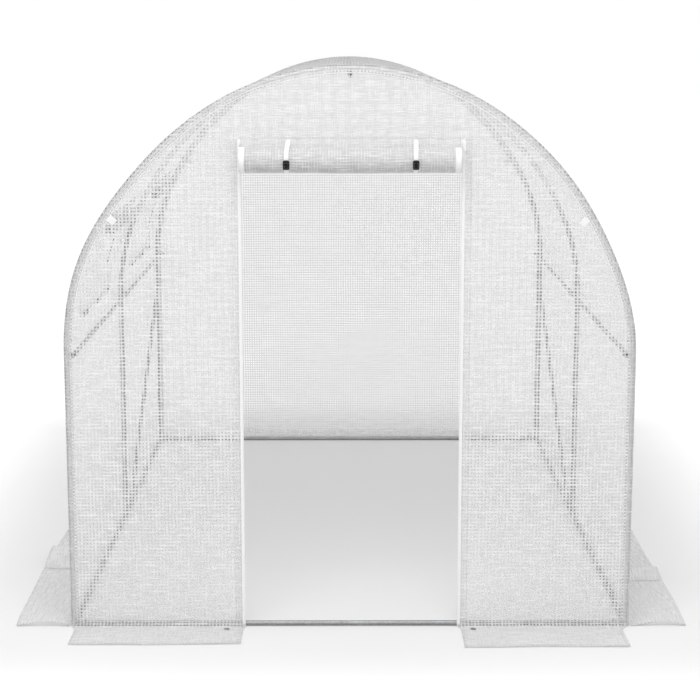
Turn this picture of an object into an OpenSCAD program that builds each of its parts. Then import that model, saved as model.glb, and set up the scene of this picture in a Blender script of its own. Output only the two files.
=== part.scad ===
// Walk-in polytunnel: three tube hoops tied by bars, under a sewn sheet cover with a roll-up door.
// The origin is on the ground at the middle of the footprint. +Y runs into the tunnel from the
// doorway, +X is to the right as seen from in front of it, and +Z is up.

/* [Frame] */
// Width between the centre lines of a hoop's two legs
tunnel_w = 2000; // [1600:10:2600]
// Length between the centre lines of the first and last hoops
tunnel_l = 2980; // [2200:10:4000]
// Height of a straight leg, where the arch begins
leg_h = 1000; // [850:5:1300]
// Diameter of the hoop tube
hoop_d = 20; // [16:1:32]
// Diameter of the bars that tie the hoops together
bar_d = 18; // [12:1:25]
// Height of a brace's lower bolt above the ground
brace_foot = 40; // [30:5:120]

/* [Cover] */
// Thickness of the cover sheet
cover_t = 2; // [1:0.5:4]
// Room between the cover and the tubes, and between pieces that are fitted to each other
fit_gap = 0.3; // [0.1:0.1:0.8]

/* [Doorway] */
// Width of the doorway
door_w = 766; // [600:5:1000]
// Height of the front panel from the hem over the doorway up to the top of the arch
lintel_h = 253; // [150:1:400]
// Width of the zip tape down each side of the doorway
zip_w = 12; // [8:1:20]
// Thickness of the zip
zip_t = 3; // [2:0.5:5]

/* [Rolled door] */
// Diameter of the rolled-up door
roll_d = 90; // [60:1:120]
// Drop from the hem over the doorway to the top of the roll
roll_drop = 23; // [10:1:60]
// Height of door sheet that is sewn flat above the hem
hem_lap = 20; // [10:1:40]
// Width of a strap that holds the roll
strap_w = 16; // [12:1:30]
// Thickness of a strap
strap_t = 2; // [1:0.5:3]
// Distance from the middle of the doorway to the left strap
left_strap_x = 218; // [120:1:280]
// Distance from the middle of the doorway to the right strap
right_strap_x = 226; // [120:1:280]
// Width of a strap's buckle
buckle_w = 21; // [20:1:40]
// Length of a buckle along its strap
buckle_l = 32; // [24:1:50]
// Thickness of a buckle
buckle_t = 8; // [5:0.5:12]
// Angle of a buckle below the front of the roll
buckle_deg = 16; // [0:1:45]

/* [Windows] */
// Length of a side window
window_l = 800; // [500:10:1000]
// Angle on the arch of a window's lower edge
window_low = 5.5; // [3:0.5:10]
// Angle on the arch of a window's upper edge
window_high = 27; // [20:0.5:29]
// Diameter of a rolled-up window flap
window_roll_d = 50; // [30:1:70]

/* [Skirts] */
// Width of the skirt that lies on the ground along each side
side_skirt = 215; // [100:5:300]
// Depth of the ground flaps in front of the tunnel
front_flap = 215; // [150:5:350]
// Depth of the ground flap behind the tunnel
rear_flap = 215; // [150:5:350]

/* [Fittings] */
// Length of a tie tab, towards the hoop
tab_l = 30; // [20:1:50]
// Width of a tie tab
tab_w = 25; // [15:1:40]
// Thickness of a tie tab
tab_t = 2; // [1:0.5:4]
// Angle on the arch of the tie tabs
tab_deg = 30; // [15:1:60]
// Distance from the hoop's centre line in to the middle of a tab
tab_in = 48; // [25:1:60]
// Diameter of an eyelet's flange
eyelet_d = 20; // [16:1:30]
// Diameter of the hole through an eyelet
eyelet_bore = 10; // [6:0.5:12]
// Thickness of an eyelet's metal
eyelet_wall = 1.5; // [1:0.25:2]
// Distance of an eyelet from the side of the doorway
eyelet_side = 62; // [30:1:120]
// Distance of an eyelet from the front of the tunnel
eyelet_out = 35; // [25:1:120]

/* [Hidden] */
$fn = 96;

left = -1;
right = 1;
steel = "#9aa0a3";
sheet = "#eef1f1";
webbing = "#fbfbfb";
black_plastic = "#1c1c1e";
netting = "#d5d9d9";

// How far a cutting shape reaches past the sheet that it cuts
cut_past = 1;
arch_r = tunnel_w / 2;
hoop_y = tunnel_l / 2;
inner_r = arch_r + hoop_d / 2 + fit_gap;
outer_r = inner_r + cover_t;
inner_y = hoop_y + hoop_d / 2 + fit_gap;
outer_y = inner_y + cover_t;
cover_l = 2 * inner_y;
door_h = leg_h + outer_r - lintel_h;
bar_l = tunnel_l + hoop_d;
// Bars lie against the inner side of the hoops
bar_r = arch_r - hoop_d / 2 - fit_gap - bar_d / 2;
brace_top = leg_h - bar_d - fit_gap;
// Each half of the arch is covered by three strips of equal width
strip_deg = 90 / 3;
bay_middle = hoop_y / 2;
gap_deg = fit_gap / inner_r * 180 / PI;
roll_y = -(outer_y + fit_gap + roll_d / 2);
roll_z = door_h - roll_drop - roll_d / 2;
strap_r = roll_d / 2 + fit_gap;
strap_out_r = strap_r + strap_t;
// Depth of the back and front of the strap's flat upper end behind the middle of the roll, and the
// angles on the loop where they meet it
strap_back = roll_d / 2 - cover_t - fit_gap;
strap_front = strap_back - strap_t;
strap_back_deg = acos(strap_back / strap_out_r);
strap_front_deg = acos(strap_front / strap_out_r);
strap_arc_steps = 60;
barrel_r = eyelet_bore / 2 + eyelet_wall;

// A shape turned so that its own Z axis runs from the back of the tunnel to the front
module along_tunnel(y) { translate([0, y, leg_h]) rotate([90, 0, 0]) children(); }

// A bar of the given length along X, about its middle
module cross_bar(length, d) { rotate([0, 90, 0]) cylinder(h = length, d = d, center = true); }

// A bar of the given length along Y, about its middle
module long_bar(length, d) { rotate([90, 0, 0]) cylinder(h = length, d = d, center = true); }

// A straight leg of a hoop
module leg(side, y) { color(steel) translate([side * arch_r, y, 0]) cylinder(h = leg_h, d = hoop_d); }

// A quarter circle of hoop tube, from the top of a leg to the ridge
module bow(side, y) {
    color(steel)
        along_tunnel(y)
            rotate([0, 0, side == right ? 0 : 90])
                rotate_extrude(angle = 90) translate([arch_r, 0]) circle(d = hoop_d);
}

// A curved strip of the arch between two angles above the horizontal
module arch_strip(side, low, high, r, t, length, y) {
    along_tunnel(y + length / 2)
        rotate([0, 0, side == right ? low : 180 - high])
            rotate_extrude(angle = high - low) translate([r, 0]) square([t, length]);
}

module roof_strip(side, number) {
    arch_strip(side, (number - 1) * strip_deg, number * strip_deg, inner_r, cover_t, cover_l, 0);
}

// The whole end of the tunnel as one flat sheet that starts at the given y
module end_sheet(y) {
    translate([-outer_r, y, 0]) cube([2 * outer_r, cover_t, leg_h]);
    along_tunnel(y + cover_t) rotate_extrude(angle = 180) square([outer_r, cover_t]);
}

module front_left_leg() { leg(left, -hoop_y); }
module front_right_leg() { leg(right, -hoop_y); }
module front_left_bow() { bow(left, -hoop_y); }
module front_right_bow() { bow(right, -hoop_y); }
module middle_left_leg() { leg(left, 0); }
module middle_right_leg() { leg(right, 0); }
module middle_left_bow() { bow(left, 0); }
module middle_right_bow() { bow(right, 0); }
module rear_left_leg() { leg(left, hoop_y); }
module rear_right_leg() { leg(right, hoop_y); }
module rear_left_bow() { bow(left, hoop_y); }
module rear_right_bow() { bow(right, hoop_y); }

// The bar under the top of the hoops
module ridge_bar() { color(steel) translate([0, 0, leg_h + bar_r]) long_bar(bar_l, bar_d); }

// The bars along the inside of the hoops where the arch begins
module side_rail(side) { color(steel) translate([side * bar_r, 0, leg_h]) long_bar(bar_l, bar_d); }
module left_side_rail() { side_rail(left); }
module right_side_rail() { side_rail(right); }

// Bars on the ground between the feet of a hoop
module end_ground_bar(y) {
    color(steel)
        translate([0, y, bar_d / 2]) cross_bar(tunnel_w - hoop_d - 2 * fit_gap, bar_d);
}
module front_ground_bar() { end_ground_bar(-hoop_y); }
module rear_ground_bar() { end_ground_bar(hoop_y); }

// Bars on the ground from leg to leg along one side, one in each bay
module side_ground_bars(side) {
    color(steel)
        for (bay = [-1, 1])
            translate([side * arch_r, bay * bay_middle, bar_d / 2])
                long_bar(hoop_y - hoop_d - 2 * fit_gap, bar_d);
}
module left_ground_bars() { side_ground_bars(left); }
module right_ground_bars() { side_ground_bars(right); }

// A brace on each side of the rear bay, from the middle hoop's foot up to the rear hoop
module rear_bay_braces() {
    rise = brace_top - brace_foot;
    color(steel)
        for (side = [left, right])
            translate([side * bar_r, 0, brace_foot])
                rotate([-atan2(hoop_y, rise), 0, 0])
                    cylinder(h = norm([hoop_y, rise]), d = bar_d);
}

// Upright sides of the cover, from the ground to where the arch begins
module side_wall(side) {
    color(sheet)
        translate([side == right ? inner_r : -outer_r, -inner_y, 0]) cube([cover_t, cover_l, leg_h]);
}
module left_wall() { side_wall(left); }
module right_wall() { side_wall(right); }

// The lowest strip of roof on the left has a window in each bay
module left_shoulder() {
    color(sheet)
        difference() {
            roof_strip(left, 1);
            for (bay = [-1, 1])
                arch_strip(left, window_low, window_high, inner_r - cut_past, cover_t + 2 * cut_past,
                    window_l, bay * bay_middle);
        }
}
module left_haunch() { color(sheet) roof_strip(left, 2); }
module left_crown() { color(sheet) roof_strip(left, 3); }
module right_shoulder() { color(sheet) roof_strip(right, 1); }
module right_haunch() { color(sheet) roof_strip(right, 2); }
module right_crown() { color(sheet) roof_strip(right, 3); }

// The front end of the cover, beside the doorway and over it
module front_panel_side(side) {
    color(sheet)
        intersection() {
            end_sheet(-outer_y);
            translate([side == right ? door_w / 2 : -outer_r, -outer_y - cut_past, 0])
                cube([outer_r - door_w / 2, cover_t + 2 * cut_past, leg_h + outer_r]);
        }
}
module front_panel_left() { front_panel_side(left); }
module front_panel_right() { front_panel_side(right); }
module front_panel_top() {
    color(sheet)
        intersection() {
            end_sheet(-outer_y);
            translate([-door_w / 2, -outer_y - cut_past, door_h])
                cube([door_w, cover_t + 2 * cut_past, lintel_h]);
        }
}

// The closed back end of the cover
module rear_panel() { color(sheet) end_sheet(inner_y); }

// Sheet that lies on the ground along the sides, to be pegged or buried
module skirt(side) {
    color(sheet)
        translate([side == right ? outer_r : -outer_r - side_skirt, -outer_y, 0])
            cube([side_skirt, 2 * outer_y, cover_t]);
}
module left_skirt() { skirt(left); }
module right_skirt() { skirt(right); }

// Sheet that lies on the ground in front of the tunnel on each side of the doorway
module front_ground_flap(side) {
    width = arch_r - door_w / 2;
    color(sheet)
        difference() {
            translate([side == right ? door_w / 2 : -arch_r, -outer_y - front_flap, 0])
                cube([width, front_flap, cover_t]);
            translate([side * (door_w / 2 + eyelet_side), -outer_y - eyelet_out, -cut_past])
                cylinder(h = cover_t + 2 * cut_past, r = barrel_r + fit_gap);
        }
}
module front_flap_left() { front_ground_flap(left); }
module front_flap_right() { front_ground_flap(right); }

module rear_ground_flap() { color(sheet) translate([-arch_r, outer_y, 0]) cube([tunnel_w, rear_flap, cover_t]); }

// The door sheet, rolled up under the hem that it hangs from
module rolled_door() {
    color(sheet) {
        translate([0, roll_y, roll_z]) cross_bar(door_w, roll_d);
        translate([-door_w / 2, -outer_y - fit_gap - cover_t, roll_z])
            cube([door_w, cover_t, door_h + hem_lap - roll_z]);
    }
}

// Points on a circle of radius r from one angle to another
function arc(r, from, to) = [
    for (i = [0:strap_arc_steps])
        let (a = from + (to - from) * i / strap_arc_steps) r * [cos(a), sin(a)]
];

// A strap from the hem, over the front of the roll and under it to the back
module roll_strap(x) {
    loop_end = 360 - strap_back_deg;
    top = door_h - roll_z;
    translate([x - strap_w / 2, roll_y, roll_z])
        rotate([90, 0, 90])
            linear_extrude(strap_w)
                polygon(concat(
                    [strap_out_r * [cos(strap_back_deg), sin(strap_back_deg)]],
                    [[strap_back, top], [strap_front, top]],
                    arc(strap_out_r, strap_front_deg, loop_end),
                    arc(strap_r, loop_end, strap_back_deg)
                ));
}
module door_straps() {
    color(webbing) {
        roll_strap(-left_strap_x);
        roll_strap(right_strap_x);
    }
}

// Buckles on the straps, just below the front of the roll
module strap_buckles() {
    color(black_plastic)
        for (x = [-left_strap_x, right_strap_x])
            translate([x, roll_y, roll_z])
                rotate([buckle_deg, 0, 0])
                    translate([-buckle_w / 2, -strap_out_r - fit_gap - buckle_t, -buckle_l / 2])
                        cube([buckle_w, buckle_t, buckle_l]);
}

// Zips on the edges of the panels beside the doorway
module door_zips() {
    zip_x = door_w / 2;
    color(webbing)
        for (side = [left, right])
            translate([side == right ? zip_x : -zip_x - zip_w, -outer_y - fit_gap - zip_t, cover_t + fit_gap])
                cube([zip_w, zip_t, door_h - cover_t - fit_gap]);
}

// Netting across the windows
module window_nets() {
    color(netting)
        for (bay = [-1, 1])
            arch_strip(left, window_low + gap_deg, window_high - gap_deg, inner_r, cover_t,
                window_l - 2 * fit_gap, bay * bay_middle);
}

// Window flaps, rolled up inside the cover along the top of each window
module window_rolls() {
    roll_r = inner_r - fit_gap - window_roll_d / 2;
    roll_deg = window_high - asin(window_roll_d / 2 / roll_r);
    color(sheet)
        for (bay = [-1, 1])
            translate([-roll_r * cos(roll_deg), bay * bay_middle, leg_h + roll_r * sin(roll_deg)])
                long_bar(window_l, window_roll_d);
}

// Tabs on the outside of both end panels, level with each other, that hold the panel to its hoop
module tie_tabs() {
    color(webbing)
        for (side = [left, right])
            for (y = [-outer_y - fit_gap - tab_t, outer_y + fit_gap])
                translate([0, y, leg_h])
                    rotate([0, side == right ? -tab_deg : tab_deg - 180, 0])
                        translate([arch_r - tab_in - tab_l / 2, 0, -tab_w / 2])
                            cube([tab_l, tab_t, tab_w]);
}

// Metal eyelets for ground pegs, in the front flaps beside the doorway
module peg_eyelets() {
    flange_z = cover_t + fit_gap;
    color(steel)
        for (side = [left, right])
            translate([side * (door_w / 2 + eyelet_side), -outer_y - eyelet_out, 0])
                difference() {
                    union() {
                        cylinder(h = flange_z + eyelet_wall, r = barrel_r);
                        translate([0, 0, flange_z]) cylinder(h = eyelet_wall, d = eyelet_d);
                    }
                    translate([0, 0, -cut_past])
                        cylinder(h = flange_z + eyelet_wall + 2 * cut_past, d = eyelet_bore);
                }
}

front_left_leg();
front_right_leg();
front_left_bow();
front_right_bow();
middle_left_leg();
middle_right_leg();
middle_left_bow();
middle_right_bow();
rear_left_leg();
rear_right_leg();
rear_left_bow();
rear_right_bow();
ridge_bar();
left_side_rail();
right_side_rail();
front_ground_bar();
rear_ground_bar();
left_ground_bars();
right_ground_bars();
rear_bay_braces();
left_wall();
left_shoulder();
left_haunch();
left_crown();
right_wall();
right_shoulder();
right_haunch();
right_crown();
front_panel_left();
front_panel_right();
front_panel_top();
rear_panel();
left_skirt();
right_skirt();
front_flap_left();
front_flap_right();
rear_ground_flap();
rolled_door();
door_straps();
strap_buckles();
door_zips();
window_nets();
window_rolls();
tie_tabs();
peg_eyelets();
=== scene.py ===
import math

import bmesh
import bpy
import numpy as np
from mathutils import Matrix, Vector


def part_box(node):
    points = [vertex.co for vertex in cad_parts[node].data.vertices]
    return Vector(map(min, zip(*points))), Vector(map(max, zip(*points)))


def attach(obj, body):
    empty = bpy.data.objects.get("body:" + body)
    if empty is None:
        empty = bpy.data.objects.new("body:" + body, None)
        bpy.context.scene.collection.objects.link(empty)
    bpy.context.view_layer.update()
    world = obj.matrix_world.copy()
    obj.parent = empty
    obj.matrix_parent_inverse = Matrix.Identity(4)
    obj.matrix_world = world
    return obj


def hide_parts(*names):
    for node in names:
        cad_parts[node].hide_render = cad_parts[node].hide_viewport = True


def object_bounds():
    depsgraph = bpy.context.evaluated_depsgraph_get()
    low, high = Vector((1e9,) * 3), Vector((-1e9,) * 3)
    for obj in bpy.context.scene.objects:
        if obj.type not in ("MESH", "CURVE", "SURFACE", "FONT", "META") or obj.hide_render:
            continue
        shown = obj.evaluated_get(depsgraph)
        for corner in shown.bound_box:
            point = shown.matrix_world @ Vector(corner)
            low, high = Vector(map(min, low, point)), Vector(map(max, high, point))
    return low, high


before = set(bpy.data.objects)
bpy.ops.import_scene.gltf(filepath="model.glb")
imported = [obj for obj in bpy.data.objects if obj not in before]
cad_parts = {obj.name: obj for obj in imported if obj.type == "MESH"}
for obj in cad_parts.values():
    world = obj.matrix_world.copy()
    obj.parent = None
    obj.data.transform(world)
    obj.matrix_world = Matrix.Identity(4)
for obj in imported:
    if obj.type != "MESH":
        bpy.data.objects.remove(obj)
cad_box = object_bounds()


# The camera stands in front of the doorway, a little higher than the ridge, and looks slightly down
# along the tunnel.
picture_px = 700.0
lens_px = 1736.0
stand = (-0.0143, -7.5374, 2.096)
look_down = 0.17644
look_aside = -0.00234
scene = bpy.context.scene
camera_data = bpy.data.cameras.new("camera")
camera_data.sensor_width = 36.0
camera_data.lens = camera_data.sensor_width * lens_px / picture_px
camera = bpy.data.objects.new("camera", camera_data)
camera.location = stand
camera.rotation_euler = (math.pi / 2 - look_down, 0.0, look_aside)
scene.collection.objects.link(camera)
scene.camera = camera


# The floor is a plain pale studio floor. It keeps the tunnel's shadow, and away from the tunnel the camera
# sees it glow white, so that it runs into the white background. Close to the tunnel the glow is weaker: a
# painted shadow round the tunnel's foot.
mm = 0.001
floor_half = 60.0
floor_z = -0.5 * mm
floor_grey = 0.765
floor_glow = (0.10, 0.40)
painted_shadow_reach = 0.9


def fed(socket, value):
    """Links a socket to an output, or sets it to a plain value."""
    if isinstance(value, bpy.types.NodeSocket):
        socket.id_data.links.new(value, socket)
    else:
        socket.default_value = value


def node(tree, kind, settings=None, inputs=None, out=0):
    """Adds a node with its settings, feeds inputs by name or by number, and gives one of its outputs."""
    made = tree.nodes.new("ShaderNode" + kind)
    for name, value in (settings or {}).items():
        setattr(made, name, value)
    for key, value in (inputs or {}).items():
        fed(made.inputs[key], value)
    return made.outputs[out]


def maths(tree, operation, *values, kind="Math", out=0):
    """The result of a sum on values or vectors, each an output or a plain number."""
    return node(tree, kind, {"operation": operation}, dict(enumerate(values)), out)


def span(tree, value, start, end, low=0.0, high=1.0, smooth=True):
    """Goes from low to high, no further, as a value goes from start to end, evenly or eased at the ends."""
    return node(tree, "MapRange", {"interpolation_type": "SMOOTHSTEP" if smooth else "LINEAR"}, {
        "Value": value, "From Min": start, "From Max": end, "To Min": low, "To Max": high})


def grey(level):
    """A neutral colour."""
    return (level, level, level, 1.0)


def new_material(name):
    """An empty node material, its tree and the surface socket of its output."""
    made = bpy.data.materials.new(name)
    made.use_nodes = True
    made.node_tree.nodes.clear()
    output = made.node_tree.nodes.new("ShaderNodeOutputMaterial")
    return made, made.node_tree, output.inputs["Surface"]


def seen_directly(tree):
    """One for a ray from the camera, a mirror or clear glass, and none for a ray of scattered light."""
    path = tree.nodes.new("ShaderNodeLightPath").outputs
    either = maths(tree, "MAXIMUM", path["Is Camera Ray"], path["Is Glossy Ray"])
    return maths(tree, "MAXIMUM", either, path["Is Transmission Ray"])


floor_material, tree, surface = new_material("pale_floor")
matt = node(tree, "BsdfDiffuse", inputs={"Color": grey(floor_grey)})
past_edge = maths(tree, "ABSOLUTE", node(tree, "TexCoord", out="Object"), kind="VectorMath")
past_edge = maths(tree, "SUBTRACT", past_edge, (cad_box[1].x, cad_box[1].y, 0.0), kind="VectorMath")
past_edge = maths(tree, "MAXIMUM", past_edge, kind="VectorMath")
past_edge = maths(tree, "LENGTH", past_edge, kind="VectorMath", out="Value")
# The camera-only glow grows with the distance past the tunnel's footprint, so a painted shadow lies round it.
glow_past_painted_shadow = span(tree, past_edge, 0.0, painted_shadow_reach, *floor_glow)
glow = node(tree, "Emission", inputs={"Strength": maths(tree, "MULTIPLY", seen_directly(tree), glow_past_painted_shadow)})
fed(surface, node(tree, "AddShader", inputs={0: matt, 1: glow}))
floor_mesh = bpy.data.meshes.new("floor")
floor_corners = floor_half * np.array([[-1, -1, 0], [1, -1, 0], [1, 1, 0], [-1, 1, 0]]) + (0, 0, floor_z)
floor_mesh.from_pydata(floor_corners.tolist(), [], [(0, 1, 2, 3)])
floor_mesh.materials.append(floor_material)
floor = bpy.data.objects.new("floor", floor_mesh)
scene.collection.objects.link(floor)


# The light is a white room, even on all sides, and one broad soft lamp above and in front of the doorway.
# Light goes straight on through many plies of the see-through cover.
room_light = 0.89
lamp_power = 92.0
lamp_size = (3.6, 2.4)
lamp_place = (-0.4, -4.0, 5.1)
lamp_turn = (math.radians(36), 0.0, math.radians(-6))
scene.view_settings.view_transform = "Standard"
scene.cycles.transparent_max_bounces = 16
world = bpy.data.worlds.new("white_room")
world.use_nodes = True
tree = world.node_tree
tree.nodes.clear()
room_strength = span(tree, seen_directly(tree), 0.0, 1.0, room_light, 1.0, smooth=False)
room = node(tree, "Background", inputs={"Color": grey(1.0), "Strength": room_strength})
fed(tree.nodes.new("ShaderNodeOutputWorld").inputs["Surface"], room)
scene.world = world
lamp_data = bpy.data.lights.new("front_lamp", "AREA")
lamp_data.shape = "RECTANGLE"
lamp_data.size, lamp_data.size_y = lamp_size
lamp_data.energy = lamp_power
lamp = bpy.data.objects.new("front_lamp", lamp_data)
lamp.location = lamp_place
lamp.rotation_euler = lamp_turn
scene.collection.objects.link(lamp)


# The hoops are thin-walled galvanised steel tube. Each is two straight legs and two bent bows, nearly quarter
# circles, and the leg's narrowed end slides into the mouth of its bow.
leg_low, leg_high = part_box("front_right_leg")
tube_r = (leg_high.x - leg_low.x) / 2
arch_r = (leg_high.x + leg_low.x) / 2
leg_h = leg_high.z
hoop_y = -(leg_high.y + leg_low.y) / 2
tube_wall = 0.8 * mm
tube_sides = 24
swage = 0.7 * mm
swage_l = 5 * mm
hoops = {"front": -hoop_y, "middle": 0.0, "rear": hoop_y}
sides = {"left": -1, "right": 1}
bow_steps = 73
shoulder_in = 19 * mm
shoulder_deg = (40.0, 38.0)
crown_up = 4.5 * mm
crown_deg = (90.0, 20.0)
lean_left = 10 * mm
lean_deg = (22.0, 22.0)
crisp_deg = 40.0
zinc_dark = (0.23, 0.235, 0.24, 1.0)
zinc_pale = (0.41, 0.42, 0.43, 1.0)
# The pale zinc_glare and the heights round it give the tubes a painted highlight.
zinc_glare = (0.80, 0.81, 0.82, 1.0)
glare_from = (leg_h + 0.25, leg_h + 0.55)
glare_to = (leg_h + 0.82, leg_h + 0.95)


def blended(tree, share, first, second):
    """A colour between two others, by a share."""
    return node(tree, "Mix", {"data_type": "RGBA"}, {"Factor": share, 6: first, 7: second}, 2)


def relief(tree, height, strength, depth):
    """A normal that follows a fine height pattern, a depth in metres from low to high."""
    return node(tree, "Bump", inputs={"Strength": strength, "Distance": depth, "Height": height})


def noise(tree, place, scale, detail, dimensions="3D", out=0):
    """Smooth random unevenness at a place, of a number of waves to the metre with finer detail on them."""
    return node(tree, "TexNoise", {"noise_dimensions": dimensions},
                {"Vector": place, "Scale": scale, "Detail": detail}, out)


def galvanised(name, painted_glare=0.0, painted_glare_top=0.0):
    """Dull zinc on steel: patches of spangle a few millimetres wide, mixed with wider grime. It may be made
    paler all over, by a share, or only over the rails, at the shoulders, towards zinc_glare: a painted
    highlight."""
    made, tree, surface = new_material(name)
    place = node(tree, "TexCoord", out="Object")
    spangle = node(tree, "TexVoronoi", {"feature": "F1"}, {"Vector": place, "Scale": 160.0}, "Color")
    grime = noise(tree, place, 9.0, 5.0)
    mottle = node(tree, "Mix", {"data_type": "FLOAT"}, {"Factor": 0.55, "A": spangle, "B": grime})
    tone = blended(tree, span(tree, mottle, 0.2, 0.8, smooth=False), zinc_dark, zinc_pale)
    # Painted highlight: the zinc is drawn towards zinc_glare, all over or on a band of the bows above the
    # rails.
    if painted_glare:
        tone = blended(tree, painted_glare, tone, zinc_glare)
    if painted_glare_top:
        height = node(tree, "SeparateXYZ", inputs={0: place}, out=2)
        rising = span(tree, height, *glare_from, 0.0, painted_glare_top)
        tone = blended(tree, span(tree, height, *glare_to, rising, 0.0), tone, zinc_glare)
    fed(surface, node(tree, "BsdfPrincipled", inputs={
        "Base Color": tone, "Metallic": 1.0, "Normal": relief(tree, mottle, 0.15, 0.3 * mm),
        "Roughness": span(tree, mottle, 0.0, 1.0, 0.26, 0.46, smooth=False)}))
    return made


def grid(points, uv=None, wrap=(False, False), keep=None, solid=False):
    """Quads on a grid of points: corner (i, j) joins (i+1, j), (i+1, j+1) and (i, j+1). A wrapped direction
    closes on itself, keep drops quads, and a solid whose volume comes out negative is turned about."""
    rows, cols = points.shape[:2]
    i, j = np.meshgrid(np.arange(rows - 1 + wrap[0]), np.arange(cols - 1 + wrap[1]), indexing="ij")
    below, beside = (i + 1) % rows, (j + 1) % cols
    quads = np.stack([i * cols + j, below * cols + j, below * cols + beside, i * cols + beside], -1)
    if uv is None:
        uv = np.zeros((rows + wrap[0], cols + wrap[1], 2))
    corner_uv = np.stack([uv[i, j], uv[i + 1, j], uv[i + 1, j + 1], uv[i, j + 1]], -2)
    if keep is not None:
        quads, corner_uv = quads[keep], corner_uv[keep]
    quads, corner_uv, flat = quads.reshape(-1, 4), corner_uv.reshape(-1, 4, 2), points.reshape(-1, 3)
    if solid:
        a, b, c, d = (flat[quads[:, n]] for n in range(4))
        if (a * (np.cross(b, c) + np.cross(c, d))).sum() < 0:
            quads, corner_uv = quads[:, ::-1], corner_uv[:, ::-1]
    return flat, quads, corner_uv


def put(name, parts, material, slot, *nodes):
    """Adds a piece as one smooth mesh of several grids, with coincident points merged and sharp edges crisp,
    gives it its finish, and hides the solids of the frame it stands for."""
    starts = np.cumsum([0] + [len(part[0]) for part in parts])
    mesh = bpy.data.meshes.new(name)
    mesh.from_pydata(np.concatenate([part[0] for part in parts]).tolist(), [],
                     np.concatenate([part[1] + start for part, start in zip(parts, starts)]).tolist())
    corners = np.concatenate([part[2].reshape(-1, 2) for part in parts])
    mesh.uv_layers.new(name="cut").data.foreach_set("uv", corners.ravel())
    work = bmesh.new()
    work.from_mesh(mesh)
    bmesh.ops.remove_doubles(work, verts=work.verts, dist=1e-7)
    work.to_mesh(mesh)
    work.free()
    mesh.polygons.foreach_set("use_smooth", np.ones(len(mesh.polygons), bool))
    mesh.set_sharp_from_angle(angle=math.radians(crisp_deg))
    mesh.materials.append(material)
    piece = bpy.data.objects.new(name, mesh)
    scene.collection.objects.link(piece)
    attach(piece, "root")
    if nodes:
        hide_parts(*nodes)
    return piece


def unit(vectors):
    """Vectors divided by their lengths."""
    return vectors / np.linalg.norm(vectors, axis=-1, keepdims=True)


def points_of(*coordinates):
    """Points from their coordinates, which are numbers or arrays that stretch to one shape."""
    return np.stack(np.broadcast_arrays(*coordinates), -1)


def circle(count):
    """Angles evenly round a full turn."""
    return np.linspace(0, 2 * np.pi, count, endpoint=False)


def tube(path, across, radius):
    """A thin-walled tube: ellipses round each point of a path, out along it and back one wall further in,
    closed at both rims. radius holds its half widths: along across, square to the path, and beside it."""
    radius = np.broadcast_to(np.transpose(radius), (2, len(path)))[:, :, None]
    turn = circle(tube_sides)
    across = np.broadcast_to(across, path.shape)
    beside = np.cross(unit(np.gradient(path, axis=0)), across)

    def skin(half):
        return (path[:, None] + (half[0] * np.cos(turn))[..., None] * across[:, None]
                + (half[1] * np.sin(turn))[..., None] * beside[:, None])

    return grid(np.concatenate([skin(radius), skin(radius - tube_wall)[::-1]]), wrap=(True, True), solid=True)


def hump(angle, middle_deg, reach_deg):
    """A smooth hump, 1 at its middle: the squared cosine of a right angle times the share of its reach."""
    return np.cos(np.pi / 2 * np.clip((np.degrees(angle) - middle_deg) / reach_deg, -1, 1)) ** 2


def arch_radius(radius, up):
    """The bent tube's distance from the middle of the arch: a radius, less at the shoulders and a little more
    at the crown. up is the angle above the rails."""
    return radius - shoulder_in * hump(up, *shoulder_deg) + crown_up * hump(up, *crown_deg)


def lean_at(up, y):
    """How far the front of the arch leans left above the rails, falling evenly to none at the middle hoop."""
    return lean_left * hump(up, *lean_deg) * np.clip(-y / hoop_y, 0, 1)


steel = galvanised("galvanised_steel")
# The front hoop's steel is paler all over, a painted highlight for the bright face of its tubes.
front_glare_steel = galvanised("front_hoop_painted_highlight", painted_glare=0.65)
# The bows of the middle and rear hoops are paler on a band above the rails, a painted highlight where light
# from above falls on them.
shoulder_glare_steel = galvanised("bow_painted_highlight", painted_glare_top=0.8)
leg_z = np.array([0.0, leg_h / 2, leg_h - 2 * swage_l, leg_h - swage_l, leg_h])
leg_radius = tube_r - swage * (leg_z > leg_h - 1.5 * swage_l)
bow_turn = np.linspace(0, np.pi / 2, bow_steps)
bow_radius = tube_r - swage * (bow_turn > np.pi / 2 - swage_l / arch_r)
bent_r = arch_radius(arch_r, bow_turn)
for hoop, y in hoops.items():
    leg_zinc, bow_zinc = (front_glare_steel, front_glare_steel) if hoop == "front" else (steel, shoulder_glare_steel)
    for side, sign in sides.items():
        leg_path = points_of(sign * arch_r, y, leg_z)
        put(f"{hoop}_{side}_leg_tube", [tube(leg_path, (1, 0, 0), leg_radius)], leg_zinc, "galvanised_tube",
            f"{hoop}_{side}_leg")
        bow_path = points_of(sign * bent_r * np.cos(bow_turn) - lean_at(bow_turn, y), y,
                             leg_h + bent_r * np.sin(bow_turn))
        put(f"{hoop}_{side}_bow_tube", [tube(bow_path, (0, 1, 0), bow_radius)], bow_zinc, "galvanised_tube",
            f"{hoop}_{side}_bow")


# The ridge bar and the two side rails are lengths of the same tube, pushed together end to end. They run
# inside the hoops and are bolted to each one. Their ends are open.
rail_low, rail_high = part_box("right_side_rail")
bar_r = (rail_high.x - rail_low.x) / 2
rail_x = (rail_high.x + rail_low.x) / 2
ridge_z = leg_h + rail_x + crown_up
rail_joints = (0.40, 0.60)


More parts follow.
